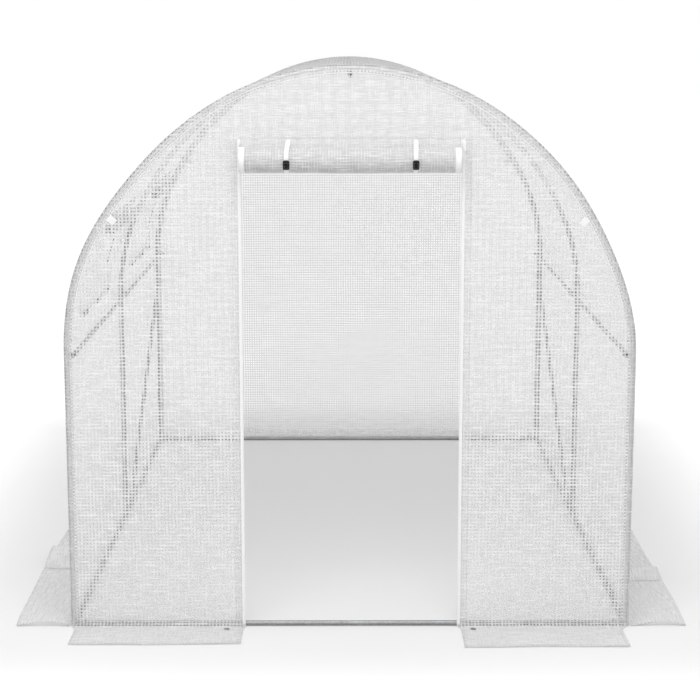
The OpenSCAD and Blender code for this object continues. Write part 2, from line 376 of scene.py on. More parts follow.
def bar(start, end, across, joints):
    """A straight tube with a dip in its skin at each joint, where one length slides into the next. Joints are
    shares of the length."""
    way = np.subtract(end, start)
    step = swage_l / np.linalg.norm(way)
    share, skin = [0.0], [bar_r]
    for joint in joints:
        share += [joint - 2 * step, joint - step, joint, joint + 0.05 * step]
        skin += [bar_r, bar_r - swage, bar_r - swage, bar_r]
    share, skin = np.array(share + [1.0]), np.array(skin + [bar_r])
    return tube(start + share[:, None] * way, across, skin)


rails = {"ridge_bar": (0.0, ridge_z), "left_side_rail": (-rail_x, leg_h), "right_side_rail": (rail_x, leg_h)}
for name, (x, z) in rails.items():
    put(f"{name}_tube", [bar((x, rail_low.y, z), (x, rail_high.y, z), (1, 0, 0), rail_joints)], steel,
        "galvanised_tube", name)


# Ground bars lie between the feet of the legs, across both ends and along both sides. The bars across the
# ends are joined in the middle.
# The rear bar's steel is paler, painted light that lifts it out of the shade at the far end of the tunnel.
for end, zinc in (("front", steel), ("rear", galvanised("rear_bar_painted_light", painted_glare=0.15))):
    low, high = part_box(f"{end}_ground_bar")
    y = (low.y + high.y) / 2
    put(f"{end}_ground_bar_tube", [bar((low.x, y, bar_r), (high.x, y, bar_r), (0, 1, 0), (0.5,))], zinc,
        "galvanised_tube", f"{end}_ground_bar")
for side, sign in sides.items():
    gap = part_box(f"{side}_ground_bars")[0].y + hoop_y
    put(f"{side}_ground_bar_tubes", [
        bar((sign * arch_r, y + gap, bar_r), (sign * arch_r, y + hoop_y - gap, bar_r), (1, 0, 0), ())
        for y in (-hoop_y, 0.0)], steel, "galvanised_tube", f"{side}_ground_bars")


# A brace on each side of the rear bay runs from the foot of the middle hoop up to the rear hoop. Its ends are
# pressed flat against the legs.
brace_foot = np.array([rail_x, 0.0, 0.040])
brace_head = np.array([rail_x, hoop_y - 0.024, leg_h - 0.033])
flat_l = 0.055
flat_t = 2.0 * mm
flat_w = 12 * mm
flat_x = arch_r - tube_r - flat_t - 0.3 * mm


def eased(share):
    """A smooth step from 0 to 1: three times the square less twice the cube."""
    share = np.clip(share, 0, 1)
    return share * share * (3 - 2 * share)


brace_l = np.linalg.norm(brace_head - brace_foot)
brace_at = np.linspace(0, 2 * flat_l, 23)
brace_at = np.concatenate([brace_at, [brace_l / 2], brace_l - brace_at[::-1]])
pressed = eased(2 - np.minimum(brace_at, brace_l - brace_at) / flat_l)
brace_radius = points_of(bar_r + (flat_t - bar_r) * pressed, bar_r + (flat_w - bar_r) * pressed)
brace_path = brace_foot + brace_at[:, None] / brace_l * (brace_head - brace_foot)
brace_path = brace_path + points_of(pressed * (flat_x - rail_x), 0, 0)
braces = [tube(brace_path * (sign, 1, 1), (1, 0, 0), brace_radius) for sign in sides.values()]
put("brace_tubes", braces, steel, "galvanised_tube", "rear_bay_braces")


# Bolts hold the tubes together at every crossing. Their nuts, washers and screw ends show inside the tunnel,
# and the heads lie flush under the cover.
nut_flats = 8 * mm
nut_t = 4 * mm
nut_bevel = 0.4 * mm
washer_r = 6 * mm
washer_t = 1 * mm
screw_r = 2.5 * mm
screw_out = 3 * mm
screw_tip = 0.5 * mm
bolt_sides = 24
joint_up = 0.05
inset = 0.04


def bolt(place, axis):
    """A washer, a nut and a screw end, turned about an axis: rings of points at a height and a radius, where
    a nut's ring is a hexagon, its flats' distance over the cosine of the angle from the nearest flat."""
    turn = circle(bolt_sides)
    hexagon = nut_flats / 2 / np.cos((turn + np.pi / 6) % (np.pi / 3) - np.pi / 6)
    bevel = np.minimum(hexagon, nut_flats / 2 * 1.06)
    top = washer_t + nut_t
    tip = top + screw_out
    rings = [(0, 0), (0, washer_r), (washer_t, washer_r), (washer_t, bevel), (washer_t + nut_bevel, hexagon),
             (top - nut_bevel, hexagon), (top, bevel), (top, screw_r), (tip, screw_r),
             (tip + screw_tip, 0.7 * screw_r), (tip + screw_tip, 0)]
    axis = unit(axis)
    first = unit(np.cross(axis, (0.3, 0.5, 0.81)))
    spoke = np.cos(turn)[:, None] * first + np.sin(turn)[:, None] * np.cross(axis, first)
    points = np.stack([h * axis + (r * np.ones(bolt_sides))[:, None] * spoke for h, r in rings])
    return grid(place + points, wrap=(False, True), solid=True)


bolts = []
for y in hoops.values():
    bolts.append(bolt((0, y, ridge_z - bar_r), (0, 0, -1)))
    for sign in sides.values():
        bolts.append(bolt((sign * (rail_x - bar_r), y, leg_h), (-sign, 0, 0)))
        radial = np.array([-sign * math.cos(joint_up), 0, -math.sin(joint_up)])
        bolts.append(bolt(np.array([0, y, leg_h]) - radial * (arch_r - tube_r), radial))
        for step in (-inset, inset):
            if abs(y + step) < hoop_y:
                bolts.append(bolt((sign * arch_r, y + step, 2 * bar_r), (0, 0, 1)))
        if y:
            bolts.append(bolt((sign * (arch_r - inset), y, 2 * bar_r), (0, 0, 1)))
for sign in sides.values():
    for end, shift in ((brace_foot, 0.4 * flat_l), (brace_head, -0.4 * flat_l)):
        on_flat = end + shift * unit(brace_head - brace_foot)
        on_flat[0] = flat_x - flat_t
        bolts.append(bolt(on_flat * (sign, 1, 1), (-sign, 0, 0)))
put("bolts", bolts, steel, "galvanised_tube")


# The cover is white polyethylene film with a square net of flat threads pressed into it. One sheet runs from
# the edge of the left skirt, up over the hoops and down to the edge of the right skirt. Its colour is
# darkened towards the ridge, a painted shade.
sheet_t = 0.5 * mm
thread_pitch = 12.35 * mm
thread_share = 0.46
thread_vary = 0.18
thread_soft = 0.05
thread_beat = (16.0, 5.37)
thread_drift = 6 * mm
film_cover = 0.06
thread_cover = 0.68
film_grey = 0.83
thread_grey = (0.88, 0.95)
glow_through = 0.35
ridge_shade_share = 0.13
ridge_shade_z = (leg_h + 0.45, leg_h + 0.80)
cover_gap = 0.6 * mm
wall_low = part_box("right_wall")[0]
cover_r = wall_low.x + cover_gap
end_y = -wall_low.y + cover_gap
skirt_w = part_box("right_skirt")[1].x - cover_r
ground = cover_gap
fold_r = 12 * mm
sag = 4 * mm
sag_fade = 0.1
arc_l = cover_r * math.pi / 2
wall_l = leg_h - ground - fold_r
fold_l = fold_r * math.pi / 2
window_deg = (5.5, 27.0)
window_low, window_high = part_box("window_nets")
window_s = [-cover_r * math.radians(90 - deg) for deg in window_deg]
window_half = (window_high.y - window_low.y - hoop_y) / 2
bays = (-hoop_y / 2, hoop_y / 2)
corner_reach = 0.06
corner_lift = 16 * mm
skirt_wave = 2.5 * mm
skirt_fold_size = {-1: (0.052, -0.815, 0.135, -0.49, 0.19), 1: (0.032, -0.972, 0.07, -0.78, 0.12)}
fine_rows = ((-0.82, -0.66, 16), (-0.985, -0.88, 14))


def threads_across(tree, across, along, seed):
    """One on a thread, none between: the distance from the middle of a cell, past a limit that differs from
    thread to thread and along each thread. Gives the threads, and how thick they are there."""
    cell = maths(tree, "DIVIDE", across, thread_pitch)
    number = maths(tree, "FLOOR", maths(tree, "ADD", cell, 0.5))
    spot = node(tree, "CombineXYZ", inputs={0: maths(tree, "MULTIPLY", along, thread_beat[0]),
                                            1: maths(tree, "MULTIPLY_ADD", number, thread_beat[1], seed)})
    thick = noise(tree, spot, 1.0, 1.0, "2D")
    away = maths(tree, "ABSOLUTE", maths(tree, "SUBTRACT", maths(tree, "FRACT", cell), 0.5))
    limit = maths(tree, "MULTIPLY_ADD", thick, -thread_vary, 0.5 + (thread_vary - thread_share) / 2)
    start, end = (maths(tree, "ADD", limit, soft) for soft in (-thread_soft, thread_soft))
    return span(tree, away, start, end), thick


def cover_sheet(name, film=film_cover, thread=thread_cover, tone=film_grey, ridge_shade=0.0):
    """See-through film crossed by two sets of nearly solid threads. Light passes straight through the open
    share of the film, and the rest is scattered to both sides. A painted shade may darken it by a share
    towards the ridge."""
    made, tree, surface = new_material(name)
    cut = node(tree, "TexCoord", out="UV")
    wander = noise(tree, cut, 5.0, 1.5, "2D", "Color")
    moved = maths(tree, "MULTIPLY_ADD", wander, (thread_drift, thread_drift, 0.0), cut, kind="VectorMath")
    axes = node(tree, "SeparateXYZ", inputs={0: moved}).node.outputs
    warp, warp_thick = threads_across(tree, axes[0], axes[1], 3.1)
    weft, weft_thick = threads_across(tree, axes[1], axes[0], 71.7)
    there = maths(tree, "MAXIMUM", warp, weft)
    thick = node(tree, "Mix", {"data_type": "FLOAT"}, {"Factor": weft, "A": warp_thick, "B": weft_thick})
    patchy = span(tree, thick, 0.25, 0.75, 0.80, 1.14, smooth=False)
    cover = maths(tree, "MULTIPLY", span(tree, there, 0.0, 1.0, film, thread, smooth=False), patchy)
    tape = blended(tree, span(tree, thick, 0.3, 0.7, smooth=False), *map(grey, thread_grey))
    colour = blended(tree, there, grey(tone), tape)
    # Painted shade: the colour is darkened by a share between two heights, towards the ridge.
    if ridge_shade:
        height = node(tree, "SeparateXYZ", inputs={0: node(tree, "TexCoord", out="Object")}, out=2)
        unshaded = span(tree, height, *ridge_shade_z, 1.0, 1.0 - ridge_shade)
        colour = node(tree, "VectorMath", {"operation": "SCALE"}, {0: colour, "Scale": unshaded})
    skin = node(tree, "BsdfPrincipled", inputs={
        "Base Color": colour, "Roughness": 0.45, "Specular IOR Level": 0.3,
        "Normal": relief(tree, there, 0.35, 0.4 * mm)})
    milk = node(tree, "BsdfTranslucent", inputs={"Color": colour})
    body = node(tree, "MixShader", inputs={0: glow_through, 1: skin, 2: milk})
    fed(surface, node(tree, "MixShader", inputs={0: cover, 1: node(tree, "BsdfTransparent"), 2: body}))
    return made


def put_sheet(name, parts, material, slot, *nodes, thickness=sheet_t, **cut):
    """Adds a thin closed sheet, half of its thickness on each side of its grids. What it is told of its cut
    is not used.
    """
    piece = put(name, parts, material, slot, *nodes)
    wall = piece.modifiers.new("thickness", "SOLIDIFY")
    wall.thickness = thickness
    wall.offset = 0.0


def ripple(a, b):
    """Gentle unevenness from -1 to 1: the mean of three sine waves that cross at different angles."""
    waves = np.sin(7.3 * a + 2.1 * b) + np.sin(9.2 * b - 4.7 * a + 1.3) + np.sin(13.1 * a - 6.4 * b + 0.7)
    return waves / 3


def skirt_fold(sign, y):
    """A skirt fold's height along the tunnel: an eased rise at its front times an eased fall at its back."""
    height, front, rise, back, fall = skirt_fold_size[sign]
    return height * eased((y - front) / rise) * eased((back - y) / fall)


def on_cover(s, y, off=0.0):
    """A point of the cover: s runs along the section from the ridge, right positive, round the arch, then
    down the wall, round the fold and out along the ground. Between hoops the sheet sags inwards, and off
    moves a point off the sheet towards the outside."""
    side, far = np.sign(s) + (s == 0), np.abs(s)

    def by_side(left, right):
        return np.where(side < 0, left, right)

    turn = np.minimum(far, arc_l) / cover_r
    down = np.clip(far - arc_l, 0, wall_l)
    bend = np.clip(far - arc_l - wall_l, 0, fold_l) / fold_r
    out = np.clip(far - arc_l - wall_l - fold_l, 0, None)
    share = out / (skirt_w - fold_r)
    bay = np.sin(np.pi * y / hoop_y) ** 2 * np.clip((arc_l + wall_l - far) / sag_fade, 0, 1)
    off = bay * (0.4 * ripple(y, s) - 1) * sag + off
    radius = arch_radius(cover_r, np.pi / 2 - turn)
    x = radius * np.sin(turn) + fold_r * (1 - np.cos(bend)) + off * np.sin(turn) * np.cos(bend)
    z = leg_h + radius * np.cos(turn) - down - fold_r * np.sin(bend)
    z = z + off * (np.cos(turn) + np.sin(bend) * (far > arc_l))
    front = np.exp(-(y + end_y) / corner_reach)
    fold = by_side(skirt_fold(-1, y), skirt_fold(1, y))
    wave = skirt_wave * (1 + np.sin(11.0 * y + 2.0 * side) * np.sin(4.3 * y + side))
    lift = corner_lift * front * np.sin(np.pi * np.minimum(share, 1) ** by_side(0.8, 1.3))
    x = x + out * (1 + 0.02 * np.sin(5.1 * y + side) - by_side(0.06, 0.02) * front - 1.2 * fold)
    z = z + fold * eased(share / 0.5) + wave * share + lift
    return points_of(side * x - lean_at(np.pi / 2 - turn, y), y, z)


def cover_patch(s, y, off=0.0, step=1, turned=False, keep=None):
    """A grid on the cover over rows of s and y, with its place in the sheet as its cut, or that turned.
    A step of -1 faces it inwards."""
    s, y = np.meshgrid(s, y, indexing="ij")
    return grid(on_cover(s, y, off)[::step], points_of(*((s, y) if turned else (y, s)))[::step], keep=keep)


sheeting = cover_sheet("reinforced_sheet")
ridge_shaded_sheeting = cover_sheet("ridge_shaded_sheeting", ridge_shade=ridge_shade_share)
half_s = arc_l + wall_l + fold_l + skirt_w - fold_r
side_s = arc_l + wall_l
cover_s = np.unique(np.concatenate([
    np.linspace(-half_s, -half_s + skirt_w, 12), np.linspace(-side_s - fold_l, -side_s, 7),
    np.linspace(-side_s, window_s[1], 36), np.linspace(window_s[1], window_s[0], 12),
    np.linspace(window_s[0], side_s, 110), np.linspace(side_s, side_s + fold_l, 7),
    np.linspace(half_s - skirt_w, half_s, 12)]).round(6))
cover_y = np.unique(np.concatenate(
    [np.linspace(*rows) for rows in ((-end_y, end_y, 121), *fine_rows)]
    + [bay + window_half * np.linspace(-1, 1, 33) for bay in bays]).round(6))
s_mid, y_mid = np.meshgrid((cover_s[1:] + cover_s[:-1]) / 2, (cover_y[1:] + cover_y[:-1]) / 2, indexing="ij")
in_window = ((s_mid > min(window_s)) & (s_mid < max(window_s))
             & (np.abs(np.abs(y_mid) - hoop_y / 2) < window_half))
window_tall = abs(window_s[1] - window_s[0])
put_sheet("roof_sheet", [cover_patch(cover_s, cover_y, keep=~in_window)], ridge_shaded_sheeting, "cover_sheet",
          *[f"{side}_{strip}" for side in sides for strip in ("wall", "shoulder", "haunch", "crown")],
          "left_skirt", "right_skirt",
          flat=(2 * end_y, 2 * half_s), held="stretched",
          area=4 * end_y * half_s - 4 * window_half * window_tall,
          rests_on=[f"{hoop}_{side}_bow_tube" for hoop in hoops for side in sides])


# Where a skirt has been pushed up into a fold, three plies of the sheet lie on each other and look nearly
# solid. The front face of each fold is that thicker patch of sheet, and its film is whiter than the sheet's:
# painted light on the fold's steep face.
fold_lift = 1.2 * mm
fold_share = (0.30, 0.98)
fold_faces = {-1: (-0.812, -0.672), 1: (-0.970, -0.898)}
fold_long = 0.15
fold_plies_and_painted_light = (0.94, 1.0, 0.96)
folds, fold_area = [], 0.0
for sign, fold_y in fold_faces.items():
    fold_s = sign * (half_s - (skirt_w - fold_r) * (1 - np.linspace(*fold_share, 10)))
    s, y = np.meshgrid(fold_s, np.linspace(*fold_y, 12), indexing="ij")
    fold_face = on_cover(s, y, fold_lift)
    folds.append(grid(fold_face[::sign], points_of(y, s)[::sign]))
    side_one, side_two = np.diff(fold_face[:, :-1], axis=0), np.diff(fold_face[:-1], axis=1)
    fold_area += np.linalg.norm(np.cross(side_one, side_two), axis=-1).sum()
# The fold's film tone is whiter than the sheet's, painted light on its steep face.
put_sheet("skirt_folds", folds, cover_sheet("folded_sheet_painted_light", *fold_plies_and_painted_light), "cover_sheet",
          flat=(fold_area / fold_long, fold_long), held="folded", rests_on=["roof_sheet"])


# The rear end is a plain sheet of the same film, closed from side to side and sewn to the roof sheet round
# the rear hoop, with a flap on the ground behind it.
rear_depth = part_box("rear_ground_flap")[1].y - end_y
rear_cols = 80
rear_bulge = 4 * mm
bulge_from = 0.2
flap_rows = 12
flap_bend = 0.06
flutter_rear = 3 * mm


def flap_edge(depth, share):
    """Height and depth of a flap from its fold (share 0) to its edge (share 1): a quarter turn, then flat."""
    bend = np.minimum(share / flap_bend, 1) * np.pi / 2
    out = np.clip((share - flap_bend) / (1 - flap_bend), 0, 1) * (depth - fold_r)
    return fold_r * (1 - np.sin(bend)), fold_r * (1 - np.cos(bend)) + out


rear_z = np.concatenate([np.linspace(fold_r + ground, leg_h, 40)[:-1],
                         leg_h + cover_r * np.sin(np.linspace(0, np.pi / 2, 48))])[:, None]
over_rail = np.maximum(rear_z - leg_h, 0)
across = np.linspace(-1, 1, rear_cols)
rear_x = np.sqrt(np.maximum(cover_r ** 2 - over_rail ** 2, 0)) * across
bulge = rear_bulge * (1 - across ** 2) * (1 + 0.7 * ripple(1.5 * rear_x, rear_z))
bulge = bulge * np.clip(rear_z / bulge_from, 0, 1)
bent = arch_radius(cover_r, np.arctan2(over_rail, np.abs(rear_x) + 1e-9)) / cover_r
bent = np.where(over_rail > 0, bent, 1.0)
rear_wall = points_of(rear_x * bent, end_y + bulge, rear_z - over_rail + over_rail * bent)
flap_share = np.linspace(1, flap_bend / flap_rows, flap_rows)[:, None]
rise, out = flap_edge(rear_depth, flap_share)
flutter = flap_share * flutter_rear * (1.7 + np.sin(8 * across) + 0.6 * np.sin(13 * across * flap_share + 1))
rear_flap = points_of(arch_r * across, end_y + out, ground + rise + flutter)
rear_uv = np.concatenate([points_of(arch_r * across, -out), rear_wall[..., [0, 2]]])
end_area = 2 * cover_r * leg_h + math.pi / 2 * cover_r ** 2
put_sheet("rear_sheet", [grid(np.concatenate([rear_flap, rear_wall])[:, ::-1], rear_uv[:, ::-1])], sheeting,
          "cover_sheet", "rear_panel", "rear_ground_flap",
          flat=(2 * cover_r, leg_h + cover_r + rear_depth), held="stretched",
          area=end_area + 2 * arch_r * rear_depth, rests_on=["rear_left_bow_tube", "rear_right_bow_tube"])


# The front end is one sheet with the doorway cut out of it. It is sewn to the roof sheet round the front
# hoop, and on each side of the doorway it runs on as a flap that lies on the ground.
door_low, door_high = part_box("front_panel_top")
door_half = door_high.x
door_h = door_low.z
door_shift = 4.5 * mm
flap_depth = {"left": 0.198, "right": 0.229}
flap_ends = {"left": (0.386, 0.996), "right": (0.397, 0.984)}
flutter_front = 2.2 * mm
flap_spread = 0.2
front_bulge = 2.5 * mm
jamb_rows = 60
head_rows = 41
panel_cols = 22
fine_net = 1.23
corner_deg = 58.0


def end_outline(share):
    """A point on the outline of the end, from the left foot (0) over the arch to the right foot (1)."""
    at = share * (2 * leg_h + 2 * arc_l)
    turn = np.clip(at - leg_h, 0, 2 * arc_l) / cover_r
    up = np.minimum(turn, np.pi - turn)
    radius = arch_radius(cover_r, up)
    past = at - leg_h - 2 * arc_l
    z = np.where(at < leg_h, at, np.where(past > 0, leg_h - past, leg_h + radius * np.sin(turn)))
    return points_of(-radius * np.cos(turn) - lean_at(up, -hoop_y), z)


def door_outline(share):
    """A point on the doorway's edge: up the left jamb for 0 to 1, across for 1 to 2, down for 2 to 3."""
    x = door_shift + np.interp(share, [0, 1, 2, 3], [-door_half, -door_half, door_half, door_half])
    return points_of(x, np.interp(share, [0, 1, 2, 3], [0, door_h, door_h, 0]))


corner = (leg_h + cover_r * math.radians(corner_deg)) / (2 * leg_h + 2 * arc_l)
jamb = np.linspace(0, 1, jamb_rows)
round_door = np.concatenate([jamb, np.linspace(1, 2, head_rows)[1:-1], 2 + jamb])
inner = door_outline(round_door)
outer = end_outline(np.interp(round_door, [0, 1, 2, 3], [0, corner, 1 - corner, 1]))
reach = np.linspace(0, 1, panel_cols)[None, :, None]
panel_uv = inner[:, None] * (1 - reach) + outer[:, None] * reach
panel_x = panel_uv[..., 0]
panel_z = np.maximum(panel_uv[..., 1], fold_r + ground)
bulge = front_bulge * np.sin(np.pi * reach[..., 0]) * (1 + 0.8 * ripple(2 * panel_x, panel_z))
panel = points_of(panel_x, -end_y - bulge * np.clip(panel_z / bulge_from, 0, 1), panel_z)
flaps, flap_uvs = [], []
for side, sign in sides.items():
    fold_x = np.abs(panel[0 if sign < 0 else -1, :, 0])[None]
    edge_x = np.interp(fold_x, (door_half, cover_r), flap_ends[side])
    across = sign * (fold_x + (edge_x - fold_x) * np.minimum(flap_share / flap_spread, 1))
    rise, out = flap_edge(flap_depth[side] * (1 + 0.02 * np.sin(6 * across)), flap_share)
    flutter = np.sin(17 * across + 3 * sign) + 0.6 * np.sin(29 * across * flap_share)
    flutter = flap_share * flutter_front * (1.7 + flutter)
    flaps.append(points_of(across, -end_y - out, ground + rise + flutter)[::-sign])
    flap_uvs.append(points_of(across, -out)[::-sign])
above = slice(jamb_rows - 1, 1 - jamb_rows)
whole = (panel, panel_uv)
left = [np.concatenate([flap, part[:jamb_rows]]) for flap, part in zip((flaps[0], flap_uvs[0]), whole)]
right = [np.concatenate([part[-jamb_rows:], flap]) for flap, part in zip((flaps[1], flap_uvs[1]), whole)]
fronts = [grid(*left), grid(panel[above], fine_net * panel_uv[above]), grid(*right)]
put_sheet("front_sheet", fronts, sheeting, "cover_sheet",
          "front_panel_left", "front_panel_right", "front_panel_top", "front_flap_left", "front_flap_right",
          flat=(2 * cover_r, leg_h + cover_r + flap_depth["right"]), held="stretched",
          area=end_area - 2 * door_half * door_h + (cover_r - door_half) * sum(flap_depth.values()),
          rests_on=["front_left_bow_tube", "front_right_bow_tube"])


# Hems and seams are the sheet itself, folded double and stitched: round both ends where they join the roof
# sheet, along the ends of the skirts, up both sides of the doorway, and along the front flaps' free edges.
hem_w = 36 * mm
hem_long = 4.8
seam_w = 18 * mm
seam_from = 17 * mm
seam_in = 27 * mm
edge_w = 16 * mm
ply = 0.75 * mm
seam_steps = 241
seam_cover = (0.30, 0.85)


def band(first, second, along):
    """A strip of doubled sheet between two rows of points, with its length and width as its cut."""
    width = np.linalg.norm(second - first, axis=-1)
    share = np.linspace(0, 1, 3)
    points = first[:, None] * (1 - share[:, None]) + second[:, None] * share[:, None]
    return grid(points, points_of(along[:, None], width[:, None] * share))


def at_ends(width):
    """Both strips of a width along the ends of the roof sheet, as their front and back edges."""
    return (-end_y, -end_y + width), (end_y - width, end_y)


hems = []
jamb_z = np.linspace(ground + fold_r, door_h, 45)
for sign in sides.values():
    edge = points_of(door_shift + sign * door_half, -end_y + ply, jamb_z)
    hems.append(band(edge, edge + (sign * hem_w, 0, 0), jamb_z))
for free, inside in (flaps[0][:2], flaps[1][:-3:-1]):
    hems.append(band(free + (0, 0, ply), free + edge_w * unit(inside - free) + (0, 0, ply), free[:, 0]))
put_sheet("front_hems", hems, sheeting, "cover_sheet", flat=(2 * hem_w, hem_long), held="stretched",
          rests_on=["front_sheet"], area=hem_w * 2 * door_h + 2 * edge_w * (cover_r - door_half))
seam_s = np.linspace(-side_s, side_s, seam_steps)
seams = [band(*(on_cover(seam_s, y, ply) for y in strip), seam_s) for strip in at_ends(seam_w)]
for end in (-1, 1):
    edges = [on_cover(seam_s, end * (end_y + ply), -at) for at in (seam_from, seam_in)]
    seams.append(band(*edges[::end], seam_s))
skirt_s = np.linspace(half_s - skirt_w + fold_r, half_s, 20)
for sign in sides.values():
    for strip in at_ends(edge_w):
        seams.append(band(*(on_cover(sign * skirt_s, y, ply) for y in strip[::sign]), skirt_s))
put_sheet("end_seams", seams, cover_sheet("stitched_sheet", *seam_cover), "cover_sheet",
          flat=(2 * (seam_w + seam_in - seam_from), 2 * side_s), held="stretched", rests_on=["roof_sheet"])


# The door's zips run up both sides of the doorway: a white woven tape with a nylon coil along its inner edge,
# and a slider with a pull tab parked at the top.
zip_low, zip_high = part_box("door_zips")
zip_tape_w = 12 * mm
zip_tape_t = 0.9 * mm
coil_r = 1.0 * mm
coil_in = 2.2 * mm
coil_thread = 0.35 * mm
coil_pitch = 3.0 * mm
coil_points = 6
coil_gap = 2 * mm
slider_half = (4.5 * mm, 2.0 * mm, 6 * mm)
slider_out = 3.6 * mm
slider_down = 12 * mm
pulls = ((-1, 26 * mm, 7 * mm, -0.05), (1, 32 * mm, 11 * mm, 0.06))
pull_t = 1.4 * mm
pull_aside = 3 * mm
pull_out = 6.4 * mm
pull_in = 1.2 * mm
pull_up = 4 * mm


def white_webbing(name, rib, level):
    """Woven tape in a grey or white: ribs across it and finer ones along it, from sine waves of its cut."""
    made, tree, surface = new_material(name)
    cut = node(tree, "TexCoord", out="UV")
    ribs = node(tree, "TexWave", {"wave_type": "BANDS", "bands_direction": "X"},
                {"Vector": cut, "Scale": 0.32 / rib, "Distortion": 0.6, "Detail": 1.0}, 1)
    cords = node(tree, "TexWave", {"wave_type": "BANDS", "bands_direction": "Y"},
                 {"Vector": cut, "Scale": 0.64 / rib, "Distortion": 0.4}, 1)
    weave = maths(tree, "MULTIPLY", ribs, cords)
    fed(surface, node(tree, "BsdfPrincipled", inputs={
        "Base Color": blended(tree, weave, grey(0.92 * level), grey(level)), "Roughness": 0.75,
        "Sheen Weight": 0.15, "Specular IOR Level": 0.25, "Normal": relief(tree, weave, 0.5, 0.3 * mm)}))
    return made


def squared(value, power):
    """A cosine or sine drawn towards a square corner: its size raised to 2 over the power, its sign kept."""
    return np.sign(value) * np.abs(value) ** (2 / power)


def rounded(width, thickness, count, power=5.0):
    """A flat closed profile with soft corners: a superellipse of squared cosines and sines."""
    turn = circle(count)
    return points_of(width / 2 * squared(np.cos(turn), power), thickness / 2 * squared(np.sin(turn), power))


def run_of(path):
    """Length along a path up to each of its points."""
    return np.concatenate([[0], np.cumsum(np.linalg.norm(np.diff(path, axis=0), axis=-1))])


def swept(path, across, profile, closed=False):
    """Carries a closed profile along a path: its first axis along across, its second square to that and the
    path. An open path's ends are shut by a row drawn together to a point."""
    along = unit(np.roll(path, -1, 0) - np.roll(path, 1, 0) if closed else np.gradient(path, axis=0))
    across = np.broadcast_to(across, path.shape)
    across = unit(across - (across * along).sum(-1, keepdims=True) * along)
    beside = np.cross(along, across)
    points = path[:, None] + profile[:, :1] * across[:, None] + profile[:, 1:] * beside[:, None]
    if closed:
        run = run_of(np.concatenate([path, path[:1]]))
    else:
        shut = np.repeat(points[[0, -1]].mean(1, keepdims=True), len(profile), 1)
        points = np.concatenate([shut[:1], points, shut[1:]])
        run = run_of(path)
        run = np.concatenate([run[:1], run, run[-1:]])
    round_it = np.append(profile[:, 0], profile[0, 0])
    return grid(points, points_of(run[:, None], round_it), wrap=(closed, True), solid=True)


def block(centre, axes, half, power, rows=13, cols=20):
    """A rounded block: squared cosines and sines of latitude and longitude, stretched along three axes."""
    lat = np.linspace(-np.pi / 2, np.pi / 2, rows)[:, None]
    lon = circle(cols)
    flat = squared(np.cos(lat), power)
    ball = points_of(flat * squared(np.cos(lon), power), flat * squared(np.sin(lon), power),
                     squared(np.sin(lat), power))
    return grid(centre + (ball * half) @ axes, wrap=(False, True), solid=True)


zip_white = white_webbing("zip_white", 1.2 * mm, 0.98)
zips = []
zip_y = zip_high.y - zip_tape_t / 2
for sign in sides.values():
    tape_path = points_of(door_shift + sign * (door_half + zip_tape_w / 2), zip_y,
                          np.linspace(zip_low.z, zip_high.z, 60))
    zips.append(swept(tape_path, (1, 0, 0), rounded(zip_tape_w, zip_tape_t, 12)))
    turns = (zip_high.z - zip_low.z - 2 * coil_gap) / coil_pitch
    turn = np.arange(int(turns * coil_points)) * 2 * np.pi / coil_points
    spoke = points_of(np.cos(turn), np.sin(turn), 0)
    coil_axis = points_of(door_shift + sign * (door_half + coil_in), zip_y - zip_tape_t / 2 - coil_r,
                          zip_low.z + coil_gap + coil_pitch * turn / (2 * np.pi))
    zips.append(swept(coil_axis + coil_r * spoke, spoke, rounded(2 * coil_thread, 2 * coil_thread, 4, 2.0)))
put("door_zip_tapes", zips, zip_white, "zip_tape", "door_zips")
sliders = []
slider_z = zip_high.z - slider_down
pull_run = np.linspace(0, 1, 9)
for sign, pull_l, pull_w, lean in pulls:
    slider_x = door_shift + sign * (door_half + slider_half[0])
    sliders.append(block((slider_x, zip_high.y - slider_out, slider_z), np.eye(3), slider_half, 4.0))
    pull_path = points_of(slider_x + sign * pull_aside + lean * pull_l * pull_run,
                          zip_high.y - pull_out + pull_in * pull_run, slider_z + pull_up - pull_l * pull_run)
    sliders.append(swept(pull_path, (1, 0, 0), rounded(pull_w, pull_t, 16)))
put("zip_sliders", sliders, zip_white, "zip_tape")


# A line of white binding closes the inner edge of the seam round the arch, at both ends of the tunnel. It is
# sewn flat on the end sheet.
line_w = 2.4 * mm
line_t = 0.9 * mm
line_deg = 10.0
line_s = np.linspace(-1, 1, seam_steps) * cover_r * math.radians(90 - line_deg)
lines = []
for end in (-1, 1):
    line_path = on_cover(line_s, end * (end_y + 3 * ply), -seam_in - line_w / 2)
    lines.append(swept(line_path, line_path * (1, 0, 1) - (0, 0, leg_h), rounded(line_w, line_t, 8)))
put("seam_lines", lines, zip_white, "zip_tape")


# The door is a sheet of the same film, sewn to the panel above the doorway, rolled up outwards and held under
# the hem. White tape binds both of its side edges, so each end of the roll shows a white band.
roll_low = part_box("rolled_door")[0]
roll_r = 44 * mm
roll_core = 17 * mm
roll_turns = 8.6
roll_axis = np.array([roll_low.y + 45 * mm, roll_low.z + 46 * mm])
roll_sag = 3 * mm
roll_waves = ((0.018, 21.0, 0.9), (0.012, 47.0, -1.3))
roll_free = 1.5
hem_lap = 6 * mm
door_face = -end_y - 2.2 * mm
strap_x = {"left": (-0.213, -0.2185), "right": (0.2285, 0.2255)}
strap_reach = 0.022
strap_pinch = 0.035
band_w = 22 * mm
band_t = 0.6 * mm
band_turns = (0.2, 2.3 * np.pi)
band_lift = 0.7 * mm


